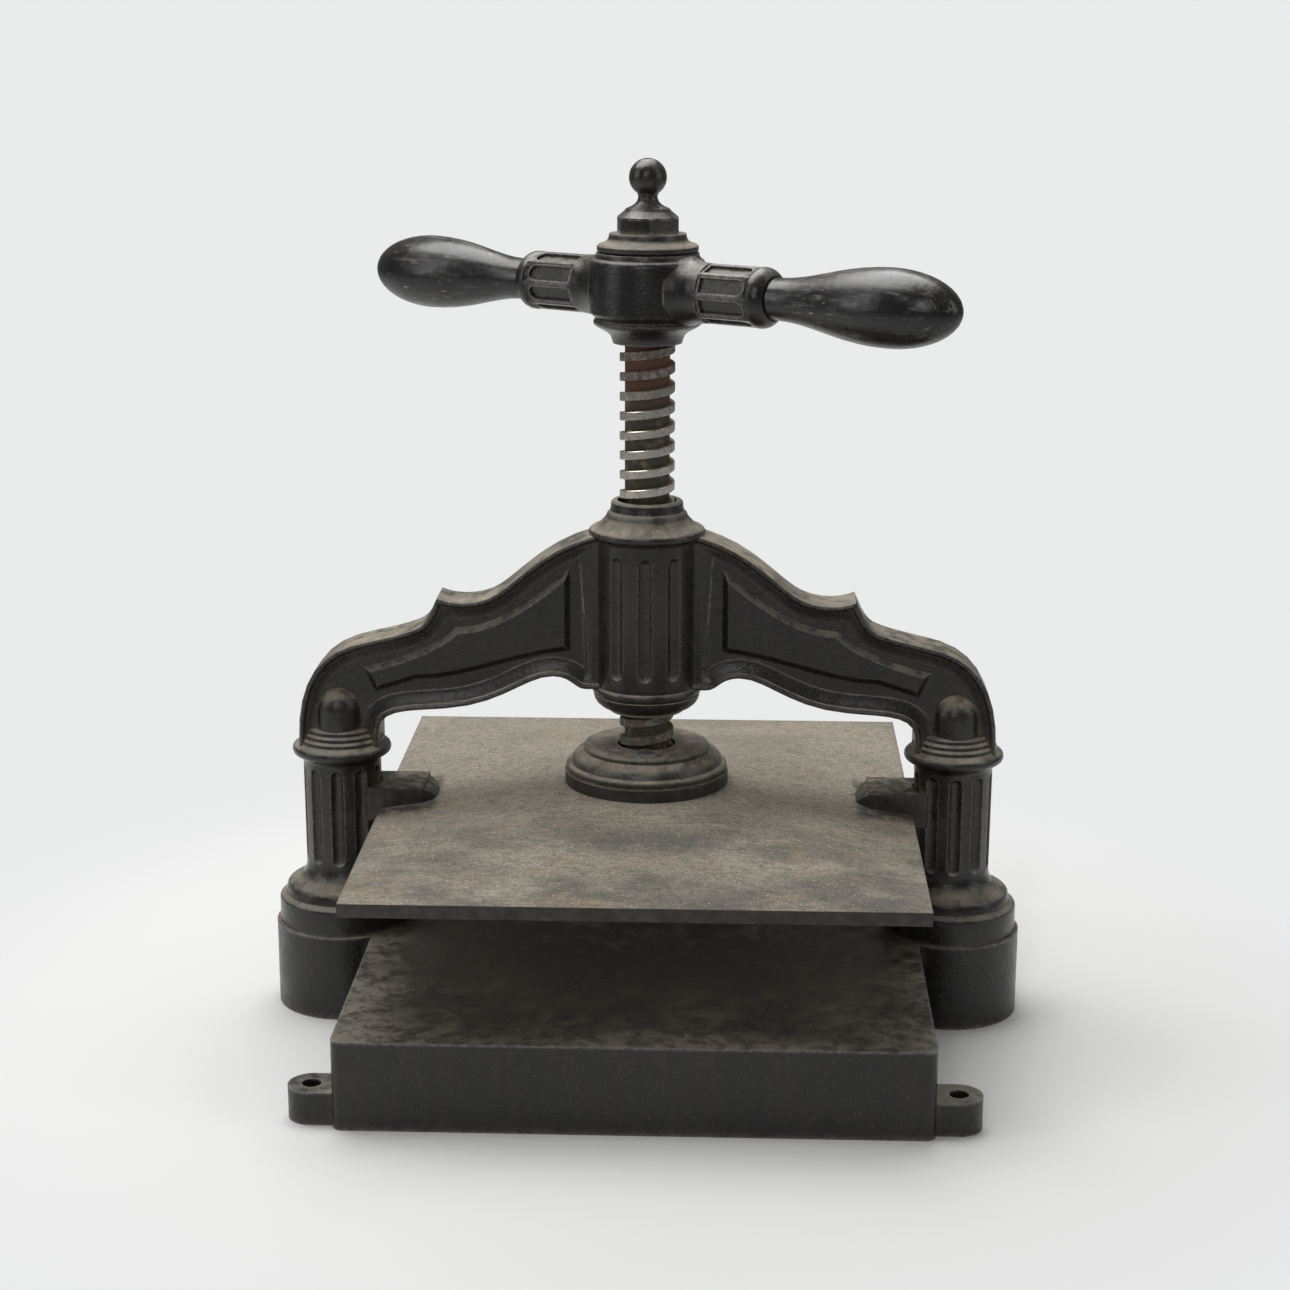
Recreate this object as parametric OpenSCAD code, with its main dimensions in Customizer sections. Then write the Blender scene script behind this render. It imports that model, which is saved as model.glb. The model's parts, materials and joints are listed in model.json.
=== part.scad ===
// Copying press: cast bed and arch, square-thread screw, crowned platen, turned cross handle.
// Origin: on the screw axis, on the bench. +X right, +Y back, +Z up. Millimetres.

/* [Bed] */
// Width of the bed casting
bed_w = 285; // [279:1:290]
// Depth of the bed casting, front to back
bed_d = 340; // [332:1:356]
// Height of the bed's face above the bench
bed_h = 44.5; // [42:0.5:50]
// Thickness of the plate under the bed's face
bed_plate_t = 11; // [8:0.5:14]
// Thickness of the skirt walls
bed_wall_t = 8; // [6:0.5:10]
// Thickness of the ribs under the bed
bed_rib_t = 8; // [6:0.5:10]
// Radius of the bed's upright corners
bed_corner_r = 5; // [3:0.5:8]
// Radius of the round plinth under each column
plinth_r = 36.7; // [36:0.1:39]
// Width of the web that joins a plinth to the bed's side
plinth_web_w = 62; // [40:1:64]
// Height of the machined column seats above the bed's face
seat_step = 0.5; // [0.3:0.1:2]
// Distance of the side ribs from the screw's plane
side_rib_x = 60; // [50:0.5:70]

/* [Bench lugs] */
// Radius of a lug's round end
lug_r = 11.5; // [10:0.1:13]
// Thickness of a lug
lug_t = 16.5; // [12:0.5:20]
// Radius of the hole in a lug
lug_hole_r = 4.7; // [3:0.1:6]
// Distance of the hole outside the bed's side
lug_reach = 11.5; // [9:0.1:14]
// Distance of the hole behind the bed's front face
lug_setback = 17; // [14:0.5:24]

/* [Columns] */
// Distance of each column's axis from the screw
column_x = 160; // [158:0.5:166]
// Radius of a column's shaft
column_r = 20; // [18.5:0.1:21]
// Height of the columns, from the bed to the spring of the arch
column_h = 101; // [92:0.5:110]
// Radius of a column's foot flange
foot_r = 34.8; // [34:0.1:36]
// Height of the foot flange's straight side
foot_flange_h = 12.5; // [8:0.5:16]
// Height of the whole foot moulding
foot_h = 32; // [28:0.5:36]
// Radius of the capital's bead
capital_r = 25.8; // [25:0.1:28]
// Height of the capital, from its neck to the spring of the arch
capital_h = 15; // [13:0.5:18]
// Number of flutes round a column
flute_count = 10; // [6:1:12]
// Width of a column's flute
flute_w = 6.7; // [4:0.1:7.5]
// Depth of every flute
flute_depth = 2.3; // [1:0.1:3]

/* [Arch] */
// Thickness of the arch, front to back
arch_t = 26; // [22:0.5:30]
// Reach of the legs outside the column's axis
leg_out = 20.5; // [18:0.5:22]
// Reach of the legs inside the column's axis
leg_in = 21; // [18:0.5:23]
// Height of the crown above the spring of the arch
crown_rise = 109; // [100:0.5:112]
// Drop from the crown to the limbs' underside at the boss
springer_drop = 80.5; // [76:0.5:84]
// Distance of the pointed shoulders from the screw
peak_x = 107; // [100:0.5:110]
// Height of the pointed shoulders above the spring
peak_rise = 76.3; // [70:0.1:82]
// Distance of the dip beside each shoulder from the screw
dip_x = 76; // [66:0.5:84]
// Height of that dip above the spring
dip_rise = 79; // [72:0.5:84]
// Height of the haunch above the spring
haunch_rise = 50.5; // [46:0.5:56]
// Distance of the underside's low point from the screw
belly_x = 104; // [96:0.5:112]
// Height of that low point above the spring
belly_rise = 17.2; // [14:0.1:22]
// Distance of the underside's high point from the screw
vault_x = 48; // [44:0.5:54]
// Height of that high point above the spring
vault_rise = 35.1; // [31:0.1:38]
// Width of the round bead along the arch's edges
bead_w = 3.2; // [2.4:0.1:4]
// Width of the cove inside the bead
cove_w = 4.2; // [3:0.1:5]
// Width of the flat strip inside the cove
strip_w = 2.2; // [1.5:0.1:3]
// Depth of that strip below the arch's face
strip_depth = 3.4; // [2.6:0.1:4]
// Depth of the field inside the strip
field_depth = 4.3; // [3.4:0.1:5]
// Height of the raised panel above the field
panel_h = 2.7; // [1:0.1:3.2]
// Width of the bevel round the raised panel
panel_bevel = 3; // [2:0.1:3.4]
// Distance of the panel's inner end from the screw
panel_x = 39; // [36:0.2:42]
// Drop of the panel's upper corner below the crown
panel_drop = 17; // [14:0.5:22]
// Radius of the half dome above each capital
dome_r = 11.6; // [10:0.1:14]
// Height of the half dome above the spring
dome_h = 27; // [22:0.5:30]
// How far the dome's axis lies behind the arch's face
dome_set = 6.5; // [2:0.5:8]

/* [Boss] */
// Radius of the fluted boss
boss_r = 27; // [26:0.1:29]
// Depth of the boss below the crown
boss_drop = 92; // [88:0.5:95]
// Height of the boss's turned top above the crown
boss_top_h = 17; // [14:0.5:20]
// Width of the boss's flutes
boss_flute_w = 7.3; // [5:0.1:8]
// Angle between the boss's flutes
boss_flute_step = 33; // [30:1:40]

/* [Screw] */
// Radius over the crest of the thread
screw_r = 14; // [13.4:0.1:14.4]
// Radius of the core under the thread
screw_core_r = 11.4; // [10.6:0.1:12]
// Rise of the thread in one turn
pitch = 10; // [8:0.5:12]
// Width of the thread's crest
crest_w = 4.4; // [3.6:0.1:4.6]
// Length from the screw's foot to the handle's seat
screw_len = 242.7; // [236:0.1:252]
// Radius of the collar at the screw's foot
collar_r = 18.3; // [17.6:0.1:18.6]
// Length of the squared top that drives the handle
square_l = 38; // [30:0.5:38.4]
// Width of that square
square_w = 18; // [15:0.5:19]
// Radius of the stud above the square
stud_r = 8; // [6:0.5:8.5]

/* [Nut] */
// Length of the threaded nut
nut_l = 70; // [50:1:80]
// Radius of the nut's barrel
nut_r = 17.4; // [17:0.1:18.2]
// Radius of the nut's flange
nut_flange_r = 19.3; // [18.9:0.1:20]
// Thickness of the nut's flange
nut_flange_t = 9.5; // [6:0.5:12]
// How far the nut stands out of the boss's foot
nut_proud = 1.5; // [0.5:0.1:2.5]

/* [Platen] */
// Width of the platen
platen_w = 277; // [265:0.5:278]
// Depth of the platen, front to back
platen_d = 322; // [300:1:332]
// Thickness of the platen at its edges
platen_edge_t = 6.7; // [5:0.1:9]
// Clear height between the bed and the platen as shown
daylight = 58.8; // [50:0.1:62]
// Rise of the crowned top from its edges to its boss
platen_crown = 13; // [9:0.5:15]
// Radius of the round boss on the platen
platen_boss_r = 42.5; // [40:0.1:46]
// Height of that boss above the crown
platen_boss_h = 6.5; // [5:0.1:8]
// Depth of the cup for the screw's collar
cup_depth = 17.5; // [16:0.1:18]
// Distance of the guide ears' inner tips from the screw
ear_tip_x = 108; // [100:1:114]
// Width of a guide ear, front to back
ear_w = 31; // [26:0.5:34]
// Height of the ears' tops above the platen's edge
ear_h = 10.8; // [8:0.1:13]
// Radius of the fall of an ear's inner end
ear_nose_r = 13; // [9:0.5:15]

/* [Swivel cap] */
// Radius of the cap's bead
cap_r = 42; // [40:0.1:44]
// Height of the cap
cap_h = 13.5; // [12:0.1:15]
// Radius of the cap's flat top
cap_top_r = 32.8; // [31:0.1:34]
// Radius of the hole that the screw passes
cap_hole_r = 15; // [14.7:0.1:15.4]
// Distance of the cap's screws from the axis
cap_screw_x = 24.2; // [23.6:0.1:25]
// Radius of a cap screw's shank
cap_screw_r = 3; // [2:0.1:3.2]
// Length of a cap screw's shank
cap_screw_l = 24; // [20:0.5:27]
// Radius of a cap screw's head
cap_head_r = 6.6; // [5:0.1:7]
// Height of a cap screw's head
cap_head_h = 3.2; // [2.5:0.1:3.5]
// Thickness of the thrust disc under the screw
thrust_t = 3; // [2:0.1:4]

/* [Handle] */
// Turn of the handle about the screw, clockwise from above
handle_turn = 34.5; // [0:0.5:90]
// Radius of the hub
hub_r = 28.8; // [27:0.1:31]
// Height of the hub
hub_h = 45; // [43:0.5:48]
// Height of the arms' axis above the hub's foot
arm_rise = 27; // [25:0.5:29]
// Radius of the octagonal arms, over their corners
arm_r = 14.8; // [13:0.1:16]
// Length from the screw to an arm's rounded end
arm_l = 76.4; // [70:0.1:80]
// Length from the screw to the near end of the sunk panels
flat_start = 40; // [38:0.5:43]
// Length of a sunk panel
flat_l = 26; // [18:0.5:27]
// Width of a sunk panel
flat_w = 7.6; // [5:0.1:9]
// Depth of a sunk panel
flat_depth = 1.6; // [0.8:0.1:2.4]
// Length from the screw to the tip of a grip
grip_reach = 178.5; // [172:0.5:196]
// Radius of a grip at its neck
grip_neck_r = 10.4; // [9:0.1:11]
// Radius of a grip at its widest
grip_r = 18.9; // [17:0.1:22]
// Length from the screw to the widest place
grip_belly_s = 141.5; // [136:0.5:150]
// Radius of the tang inside each grip
tang_r = 5; // [3.5:0.1:6]
// Length of a tang inside its grip
tang_in_grip = 68; // [50:1:80]
// Length of a tang inside the hub's arm
tang_in_arm = 34; // [25:1:40]

/* [Finial] */
// Radius of the moulded washer on the hub
washer_r = 25.4; // [23:0.1:27]
// Height of the moulded washer
washer_h = 9.5; // [8:0.1:11]
// Width across the flats of the hexagon
hex_af = 29; // [26:0.5:31]
// Height of the hexagon
hex_h = 8; // [7:0.1:10]
// Turn of the hexagon about the screw
hex_turn = 8; // [0:1:60]
// Radius of the finial's ball
ball_r = 9.4; // [8:0.1:11]
// Height of the ball's centre above the hexagon
ball_rise = 19.3; // [18.5:0.1:22]
// Radius of the finial's neck
neck_r = 4.8; // [4:0.1:6]

/* [Column bolts] */
// Radius of a column bolt's shank
bolt_r = 6; // [5:0.1:6.5]
// Length of a column bolt's shank
bolt_l = 72; // [60:1:80]
// Width across the flats of a bolt's head
bolt_af = 19; // [16:0.5:20]
// Height of a bolt's head
bolt_head_h = 8; // [6:0.5:9]
// Depth of the square recess for a bolt's head, up from the bench
recess_depth = 25; // [20:0.5:28]
// Width of that recess
recess_w = 28; // [27:0.5:32]
// Radius of the washer under a bolt's head
bolt_washer_r = 12; // [11.4:0.1:13]
// Thickness of that washer
bolt_washer_t = 2.5; // [1.5:0.1:3]

/* [Fits] */
// Clearance between faces that slide or turn on each other
run_gap = 0.3; // [0.25:0.01:0.4]
// Radial clearance of a pressed or screwed-in piece
seat_gap = 0.05; // [0.02:0.01:0.1]
// Radial clearance of a hole that a bolt only passes through
bolt_gap = 0.5; // [0.3:0.05:0.8]
// Gap between the guide ears and the columns
guide_gap = 0.8; // [0.5:0.05:1.2]
// Radial clearance of the screw in the boss above the nut
bore_gap = 1.2; // [0.8:0.1:1.6]

/* [Hidden] */
$fn = 64;

curve_steps = 7;    // straight pieces in each curve of the arch
thread_steps = 20;  // straight pieces in one turn of the thread
overlap = 1;        // how far a cut or a joined solid runs past the face that it meets

// Heights, from the bench up
plinth_z = bed_h + seat_step;
spring_z = plinth_z + column_h;
crown_z = spring_z + crown_rise;
boss_bottom_z = crown_z - boss_drop;
boss_top_z = crown_z + boss_top_h;
nut_z = boss_bottom_z - nut_proud;
nut_top_z = nut_z + nut_l;
platen_z = bed_h + daylight;
platen_edge_z = platen_z + platen_edge_t;
platen_crown_z = platen_edge_z + platen_crown;
cap_z = platen_crown_z + platen_boss_h;
cap_top_z = cap_z + cap_h;
cup_z = cap_z - cup_depth;
foot_z = cup_z + thrust_t + run_gap;
collar_top_z = cap_z - run_gap;
seat_z = foot_z + screw_len;
hub_lip = 6;
hub_z = seat_z - hub_lip;
hub_top_z = hub_z + hub_h;
arm_z = hub_z + arm_rise;
hex_z = hub_top_z + washer_h;
ball_z = hex_z + hex_h + ball_rise;
stud_top_z = hex_z + hex_h + 2;

bolt_seat_z = recess_depth - bolt_washer_t;
bolt_top_z = bolt_seat_z + bolt_l;

// The thread starts inside the cap's hole and ends under a plain neck at the handle's seat
neck_h = 4;
thread_z = cap_z + 0.6 * cap_h;
thread_end_z = seat_z - neck_h - 1.5;
thread_turns = (thread_end_z - crest_w - thread_z) / pitch;

lug_x = bed_w / 2 + lug_reach;
lug_y = bed_d / 2 - lug_setback;

// Points along a cubic curve, without its first point
function curve(a, b, c, d, steps = curve_steps) = [
    for (i = [1 : steps])
        let (t = i / steps, u = 1 - t)
            u * u * u * a + 3 * u * u * t * b + 3 * u * t * t * c + t * t * t * d
];

// Points along an arc about [x, y], from angle a to angle b
function arc(x, y, r, a, b, steps = 6) = [
    for (i = [0 : steps])
        let (t = a + (b - a) * i / steps)
            [x + r * cos(t), y + r * sin(t)]
];

function unit(v) = v / norm(v);

// Distance from q to the segment from a to b
function reach(q, a, b) = let (t = (q - a) * (b - a) / ((b - a) * (b - a)))
    norm(q - a - min(max(t, 0), 1) * (b - a));

// For each corner of a clockwise outline, its step inwards for an inset of 1
function miters(p) = let (n = len(p)) [
    for (i = [0 : n - 1])
        let (
            u = unit(p[i] - p[(i + n - 1) % n]),
            v = unit(p[(i + 1) % n] - p[i]),
            m = unit(u + v)
        )
            [m[1], -m[0]] / sqrt((1 + u * v) / 2)
];

// Which corners of an outline p still stand on its inset q, drawn in by d
function standing(p, q, d) = let (n = len(p)) [
    for (a = q)
        min([for (j = [0 : n - 1]) reach(a, p[j], p[(j + 1) % n])]) > 0.98 * d - 0.001
];

// The standing corner nearest to corner i along the outline
function nearest(kept, i, k = 0) = let (n = len(kept), a = (i + k) % n, b = (i + n - k) % n)
    kept[a] ? a : kept[b] ? b : nearest(kept, i, k + 1);

// Right half of the arch, seen from the front, clockwise from the top of the boss
limb_x = boss_r - 5.5;
moulding_root = 0.5;
crown = [boss_r + 1, crown_z];
dip = [dip_x, spring_z + dip_rise];
peak = [peak_x, spring_z + peak_rise];
step = [peak_x + 10, spring_z + peak_rise - 15.8];
haunch = [column_x - 8, spring_z + haunch_rise];
leg_outer = [column_x + leg_out, spring_z];
leg_inner = [column_x - leg_in, spring_z + 5];
belly = [belly_x, spring_z + belly_rise];
vault = [vault_x, spring_z + vault_rise];
springer = [boss_r + 4, crown_z - springer_drop];
leg_foot_z = spring_z - 4;

arch_top = concat(
    [crown],
    curve(crown, crown + [24, -7], dip + [-12, 8.5], dip),
    curve(dip, dip + [10, -6.7], peak + [-7, -3.3], peak),
    curve(peak, peak + [3, -6.3], step + [-5, 3], step),
    curve(step, step + [8, -4], haunch + [-14, 4], haunch),
    curve(haunch, haunch + [20, -6.5], leg_outer + [0, 26], leg_outer)
);
arch_underside = concat(
    [leg_inner],
    curve(leg_inner, leg_inner + [-1.5, 12], belly + [18, -1.7], belly),
    curve(belly, belly + [-30, 2.3], vault + [14, 0], vault),
    curve(vault, vault + [-10, -0.1], springer + [6, 0], springer)
);
arch_half = concat(
    [[limb_x, crown_z]],
    arch_top,
    [[leg_outer[0], leg_foot_z], [leg_inner[0], leg_foot_z]],
    arch_underside,
    [[limb_x, springer[1]]]
);

// Section of the moulding along the limbs, as [distance in from the edge, depth below the face]
limb_moulding = [
    [0, 1.4],
    [0.16 * bead_w, 0.4],
    [0.45 * bead_w, 0],
    [0.8 * bead_w, 0.5],
    [bead_w, 0.45 * strip_depth],
    [bead_w + 0.5 * cove_w, 0.62 * strip_depth],
    [bead_w + cove_w, strip_depth],
    [bead_w + cove_w + strip_w, strip_depth],
    [bead_w + cove_w + strip_w + moulding_root, field_depth + moulding_root]
];

// Raised panel in each limb, clockwise from its upper corner beside the boss
panel_top = [panel_x, crown_z - panel_drop];
panel_nick = peak - [8.5, 16.6];
panel_tail = haunch - [5.5, 12.3];
panel_toe = panel_tail - [6, 13];
panel_knee = belly + [15, 15];
panel_low = [panel_x, vault[1] + 13.4];
panel_outline = concat(
    [panel_top],
    curve(panel_top, panel_top + [12, -12], panel_nick + [-22, -0.4], panel_nick),
    curve(panel_nick, panel_nick + [6, -8], panel_tail + [-22, 5], panel_tail),
    [panel_toe, panel_knee],
    curve(panel_knee, panel_knee + [-22, -0.6], panel_low + [28, -3], panel_low)
);

// Half profile of a column, as [radius, height]
foot_top_z = plinth_z + foot_h;
flange_z = plinth_z + foot_flange_h;
neck_z = spring_z - capital_h;
bead_z = neck_z + 0.53 * capital_h;
column_profile = concat(
    [[0, plinth_z], [foot_r, plinth_z]],
    arc(foot_r - 2, flange_z, 2, 0, 75, 4),
    [[foot_r - 3.4, flange_z + 3], [foot_r - 3.6, flange_z + 5]],
    arc(foot_r - 8.2, flange_z + 5.6, 4.4, 0, 80, 4),
    curve(
        [foot_r - 9.4, flange_z + 10.6], [column_r + 3, flange_z + 11.4],
        [column_r + 0.6, foot_top_z - 5], [column_r, foot_top_z], 5
    ),
    curve([column_r, neck_z], [column_r, neck_z + 2], [column_r + 1, neck_z + 3], [column_r + 2, neck_z + 3.6], 3),
    arc(capital_r - 3.2, bead_z, 3.2, -80, 80, 7),
    [
        [capital_r - 3.6, bead_z + 4.2], [capital_r - 3.8, bead_z + 5.8],
        [capital_r - 5.2, bead_z + 7], [capital_r - 5.4, bead_z + 8.6],
        [capital_r - 6.8, bead_z + 9.8], [capital_r - 7, bead_z + 11.4],
        [capital_r - 8, bead_z + 12.4], [0, bead_z + 12.4]
    ]
);

// Half profile of the boss
boss_profile = concat(
    [[0, boss_bottom_z], [nut_flange_r + 1.6, boss_bottom_z]],
    curve(
        [nut_flange_r + 1.6, boss_bottom_z], [boss_r - 1.5, boss_bottom_z + 1.5],
        [boss_r + 0.4, boss_bottom_z + 4.5], [boss_r + 0.6, boss_bottom_z + 7.4], 4
    ),
    arc(boss_r - 1.2, boss_bottom_z + 10, 2.6, -60, 70, 6),
    [[boss_r, boss_bottom_z + 13.4], [boss_r, crown_z - 3.5]],
    arc(boss_r + 0.2, crown_z + 0.6, 2.7, -75, 85, 7),
    curve(
        [boss_r - 1.6, crown_z + 3.6], [boss_r - 3, crown_z + 6],
        [boss_r - 6.4, crown_z + 8], [boss_r - 6.6, boss_top_z - 6.6], 5
    ),
    curve(
        [boss_r - 7.4, boss_top_z - 6], [boss_r - 8.2, boss_top_z - 5.6],
        [boss_r - 8.5, boss_top_z - 4], [boss_r - 8.6, boss_top_z - 1], 3
    ),
    [[boss_r - 9.6, boss_top_z], [0, boss_top_z]]
);

module at_columns() {
    for (side = [-1, 1])
        translate([side * column_x, 0, 0])
            children();
}

module hex_prism(af, h) {
    cylinder(r = af / sqrt(3), h = h, $fn = 6);
}

// A round-ended upright groove of width w, from z = a to z = b, that cuts a shaft of radius r by depth
module flute(w, depth, r, a, b) {
    tool_r = (w * w / 4 + depth * depth) / (2 * depth);
    translate([0, depth - r - tool_r, 0]) {
        translate([0, 0, a + w / 2])
            cylinder(r = tool_r, h = b - a - w);
        for (z = [a + w / 2, b - w / 2])
            translate([0, 0, z])
                sphere(r = tool_r);
    }
}

// A right-hand square thread on its core, as one closed surface. The core runs from z = low to z = high.
// The ridge's lower edge starts at z = start at angle 0, and climbs one pitch in each turn.
module threaded_rod(core_r, crest_r, w, low, start, turns, high) {
    n = thread_steps;
    last = floor(turns * n);
    function around(r, i, z) = [r * cos(i * 360 / n), r * sin(i * 360 / n), z];
    function rise(i) = start + i * pitch / n;
    // Four rows of points follow the thread: lower root, lower crest, upper crest, upper root
    rows = [
        for (edge = [[core_r, 0], [crest_r, 0], [crest_r, w], [core_r, w]], i = [0 : last])
            around(edge[0], i, rise(i) + edge[1])
    ];
    function root_low(i) = i;
    function crest_low(i) = last + 1 + i;
    function crest_high(i) = 2 * (last + 1) + i;
    function root_high(i) = 3 * (last + 1) + i;
    foot = 4 * (last + 1);
    head = foot + n;
    ends = [for (z = [low, high], i = [0 : n - 1]) around(core_r, i, z)];
    function at_foot(i) = foot + i % n;
    function at_head(i) = head + i % n;
    function fan(tip, edge) = [for (i = [0 : len(edge) - 2]) [tip, edge[i], edge[i + 1]]];
    polyhedron(concat(rows, ends), concat(
        [for (i = [0 : last - 1], f = [
            [root_low(i), crest_low(i), crest_low(i + 1)], [root_low(i), crest_low(i + 1), root_low(i + 1)],
            [crest_low(i), crest_high(i), crest_high(i + 1), crest_low(i + 1)],
            [crest_high(i), root_high(i), root_high(i + 1)], [crest_high(i), root_high(i + 1), crest_high(i + 1)]
        ]) f],
        [for (i = [0 : last - n - 1]) [root_high(i), root_low(i + n), root_low(i + n + 1), root_high(i + 1)]],
        [for (i = [0 : n - 2]) [at_foot(i), root_low(i), root_low(i + 1), at_foot(i + 1)]],
        fan(at_foot(n - 1), [root_low(n - 1), root_low(n), root_high(0), root_low(0), at_foot(n)]),
        [for (i = [last - n + 1 : last - 1]) [root_high(i), at_head(i), at_head(i + 1), root_high(i + 1)]],
        fan(root_high(last - n + 1), [root_high(last - n), root_low(last), root_high(last), at_head(last), at_head(last - n + 1)]),
        [[root_low(0), root_high(0), crest_high(0), crest_low(0)]],
        [[root_low(last), crest_low(last), crest_high(last), root_high(last)]],
        [[for (i = [0 : n - 1]) foot + i]],
        [[for (i = [n - 1 : -1 : 0]) head + i]]
    ));
}

module rounded_block(w, d, h, r) {
    for (x = [-1, 1], y = [-1, 1])
        translate([x * (w / 2 - r), y * (d / 2 - r), 0])
            cylinder(r = r, h = h);
    translate([-w / 2, r - d / 2, 0])
        cube([w, d - 2 * r, h]);
    translate([r - w / 2, -d / 2, 0])
        cube([w - 2 * r, d, h]);
}

// The three open cells that run from front to back between the skirt and the ribs
module under_cells() {
    half_rib = bed_rib_t / 2;
    l = bed_d - 2 * bed_wall_t;
    outer_x = bed_w / 2 - bed_wall_t;
    inner_x = side_rib_x + half_rib;
    for (x = [[-outer_x, -inner_x], [half_rib - side_rib_x, side_rib_x - half_rib], [inner_x, outer_x]])
        translate([x[0], -l / 2, -overlap])
            cube([x[1] - x[0], l, bed_h - bed_plate_t + overlap]);
}

module base() {
    color("#2b2a28")
        difference() {
            union() {
                rounded_block(bed_w, bed_d, bed_h, bed_corner_r);
                at_columns()
                    cylinder(r = plinth_r, h = plinth_z);
                for (side = [-1, 1])
                    translate([side > 0 ? bed_w / 2 - bed_wall_t : -column_x, -plinth_web_w / 2, 0])
                        cube([column_x - bed_w / 2 + bed_wall_t, plinth_web_w, bed_h]);
                for (x = [-1, 1], y = [-1, 1])
                    translate([x * lug_x, y * lug_y, 0]) {
                        cylinder(r = lug_r, h = lug_t);
                        translate([x > 0 ? -lug_reach - bed_wall_t / 2 : 0, -lug_r, 0])
                            cube([lug_reach + bed_wall_t / 2, 2 * lug_r, lug_t]);
                    }
            }
            under_cells();
            at_columns() {
                translate([-recess_w / 2, -recess_w / 2, -overlap])
                    cube([recess_w, recess_w, recess_depth + overlap]);
                cylinder(r = bolt_r + bolt_gap, h = plinth_z + overlap);
            }
            for (x = [-1, 1], y = [-1, 1])
                translate([x * lug_x, y * lug_y, -overlap])
                    cylinder(r = lug_hole_r, h = lug_t + 2 * overlap);
        }
}

// Levels of a section on the front face, then of the same on the back face of a plate t thick
function both_faces(section, t) = let (last = len(section) - 1) concat(
    [for (k = [last : -1 : 0]) [section[k][0], section[k][1] - t / 2]],
    [for (k = [0 : last]) [section[k][0], t / 2 - section[k][1]]]
);

// A moulded frame along the inside of a clockwise outline in the XZ plane.
// Each level is [distance in from the outline, y], from the front face to the back one.
module moulded_frame(outline, levels) {
    n = len(outline);
    m = miters(outline);
    count = len(levels);
    insets = [for (l = levels) outline + l[0] * m];
    kept = [for (k = [0 : count - 1]) standing(outline, insets[k], levels[k][0])];
    corners = [for (k = [0 : count - 1]) [for (i = [0 : n - 1]) k * n + nearest(kept[k], i)]];
    polyhedron(
        [for (k = [0 : count - 1], q = insets[k]) [q[0], levels[k][1], q[1]]],
        [for (k = [0 : count - 1], i = [0 : n - 1])
            let (
                a = corners[k][i], b = corners[k][(i + 1) % n],
                c = corners[(k + 1) % count][i], d = corners[(k + 1) % count][(i + 1) % n]
            )
                each concat(c != d ? [[a, c, d]] : [], a != b ? [[a, d, b]] : [])]
    );
}

// A flat web t thick, its edge held back from an outline
module flat_web(outline, back, t) {
    edge = outline + back * miters(outline);
    kept = standing(outline, edge, back);
    rotate([90, 0, 0])
        linear_extrude(t, center = true)
            polygon([for (i = [0 : len(outline) - 1]) if (kept[i]) edge[i]]);
}

module arch_half_web() {
    field_t = arch_t - 2 * field_depth;
    root = moulding_root;
    moulded_frame(arch_half, both_faces(limb_moulding, arch_t));
    flat_web(arch_half, bead_w + cove_w / 2, field_t);
    moulded_frame(panel_outline, both_faces([
        [-root * panel_bevel / panel_h, root],
        [panel_bevel, -panel_h],
        [panel_bevel + 1, -panel_h]
    ], field_t));
    flat_web(panel_outline, panel_bevel + 0.5, field_t + 2 * panel_h);
}

module half_dome() {
    translate([0, dome_set - arch_t / 2, spring_z]) {
        cylinder(r = dome_r, h = dome_h - dome_r);
        translate([0, 0, dome_h - dome_r])
            sphere(r = dome_r);
    }
}

module arch() {
    color("#262523")
        difference() {
            union() {
                arch_half_web();
                mirror([1, 0, 0])
                    arch_half_web();
                rotate_extrude()
                    polygon(boss_profile);
                at_columns() {
                    rotate_extrude()
                        polygon(column_profile);
                    half_dome();
                    mirror([0, 1, 0])
                        half_dome();
                }
            }
            for (back = [0, 180], i = [-1 : 1])
                rotate([0, 0, back + i * boss_flute_step])
                    flute(boss_flute_w, flute_depth, boss_r, boss_bottom_z + 19, crown_z - 9);
            at_columns()
                for (i = [0 : flute_count - 1])
                    rotate([0, 0, i * 360 / flute_count])
                        flute(flute_w, flute_depth, column_r, foot_top_z + 1.5, neck_z - 0.5);
            translate([0, 0, boss_bottom_z - overlap])
                cylinder(r = nut_flange_r + seat_gap, h = nut_z + nut_flange_t - boss_bottom_z + overlap);
            translate([0, 0, boss_bottom_z])
                cylinder(r = nut_r + seat_gap, h = nut_top_z + seat_gap - boss_bottom_z);
            cylinder(r = screw_r + bore_gap, h = boss_top_z + overlap);
            at_columns()
                translate([0, 0, plinth_z - overlap])
                    cylinder(r = bolt_r + seat_gap, h = bolt_top_z - plinth_z + 2 * overlap);
        }
}

module column_bolt() {
    color("#4a4540") {
        translate([0, 0, bolt_seat_z - bolt_head_h])
            hex_prism(bolt_af, bolt_head_h);
        translate([0, 0, bolt_seat_z - overlap])
            cylinder(r = bolt_r, h = bolt_l + overlap);
    }
}

module bolt_washer() {
    color("#55504a")
        translate([0, 0, bolt_seat_z])
            difference() {
                cylinder(r = bolt_washer_r, h = bolt_washer_t);
                translate([0, 0, -overlap])
                    cylinder(r = bolt_r + seat_gap, h = bolt_washer_t + 2 * overlap);
            }
}

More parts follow.
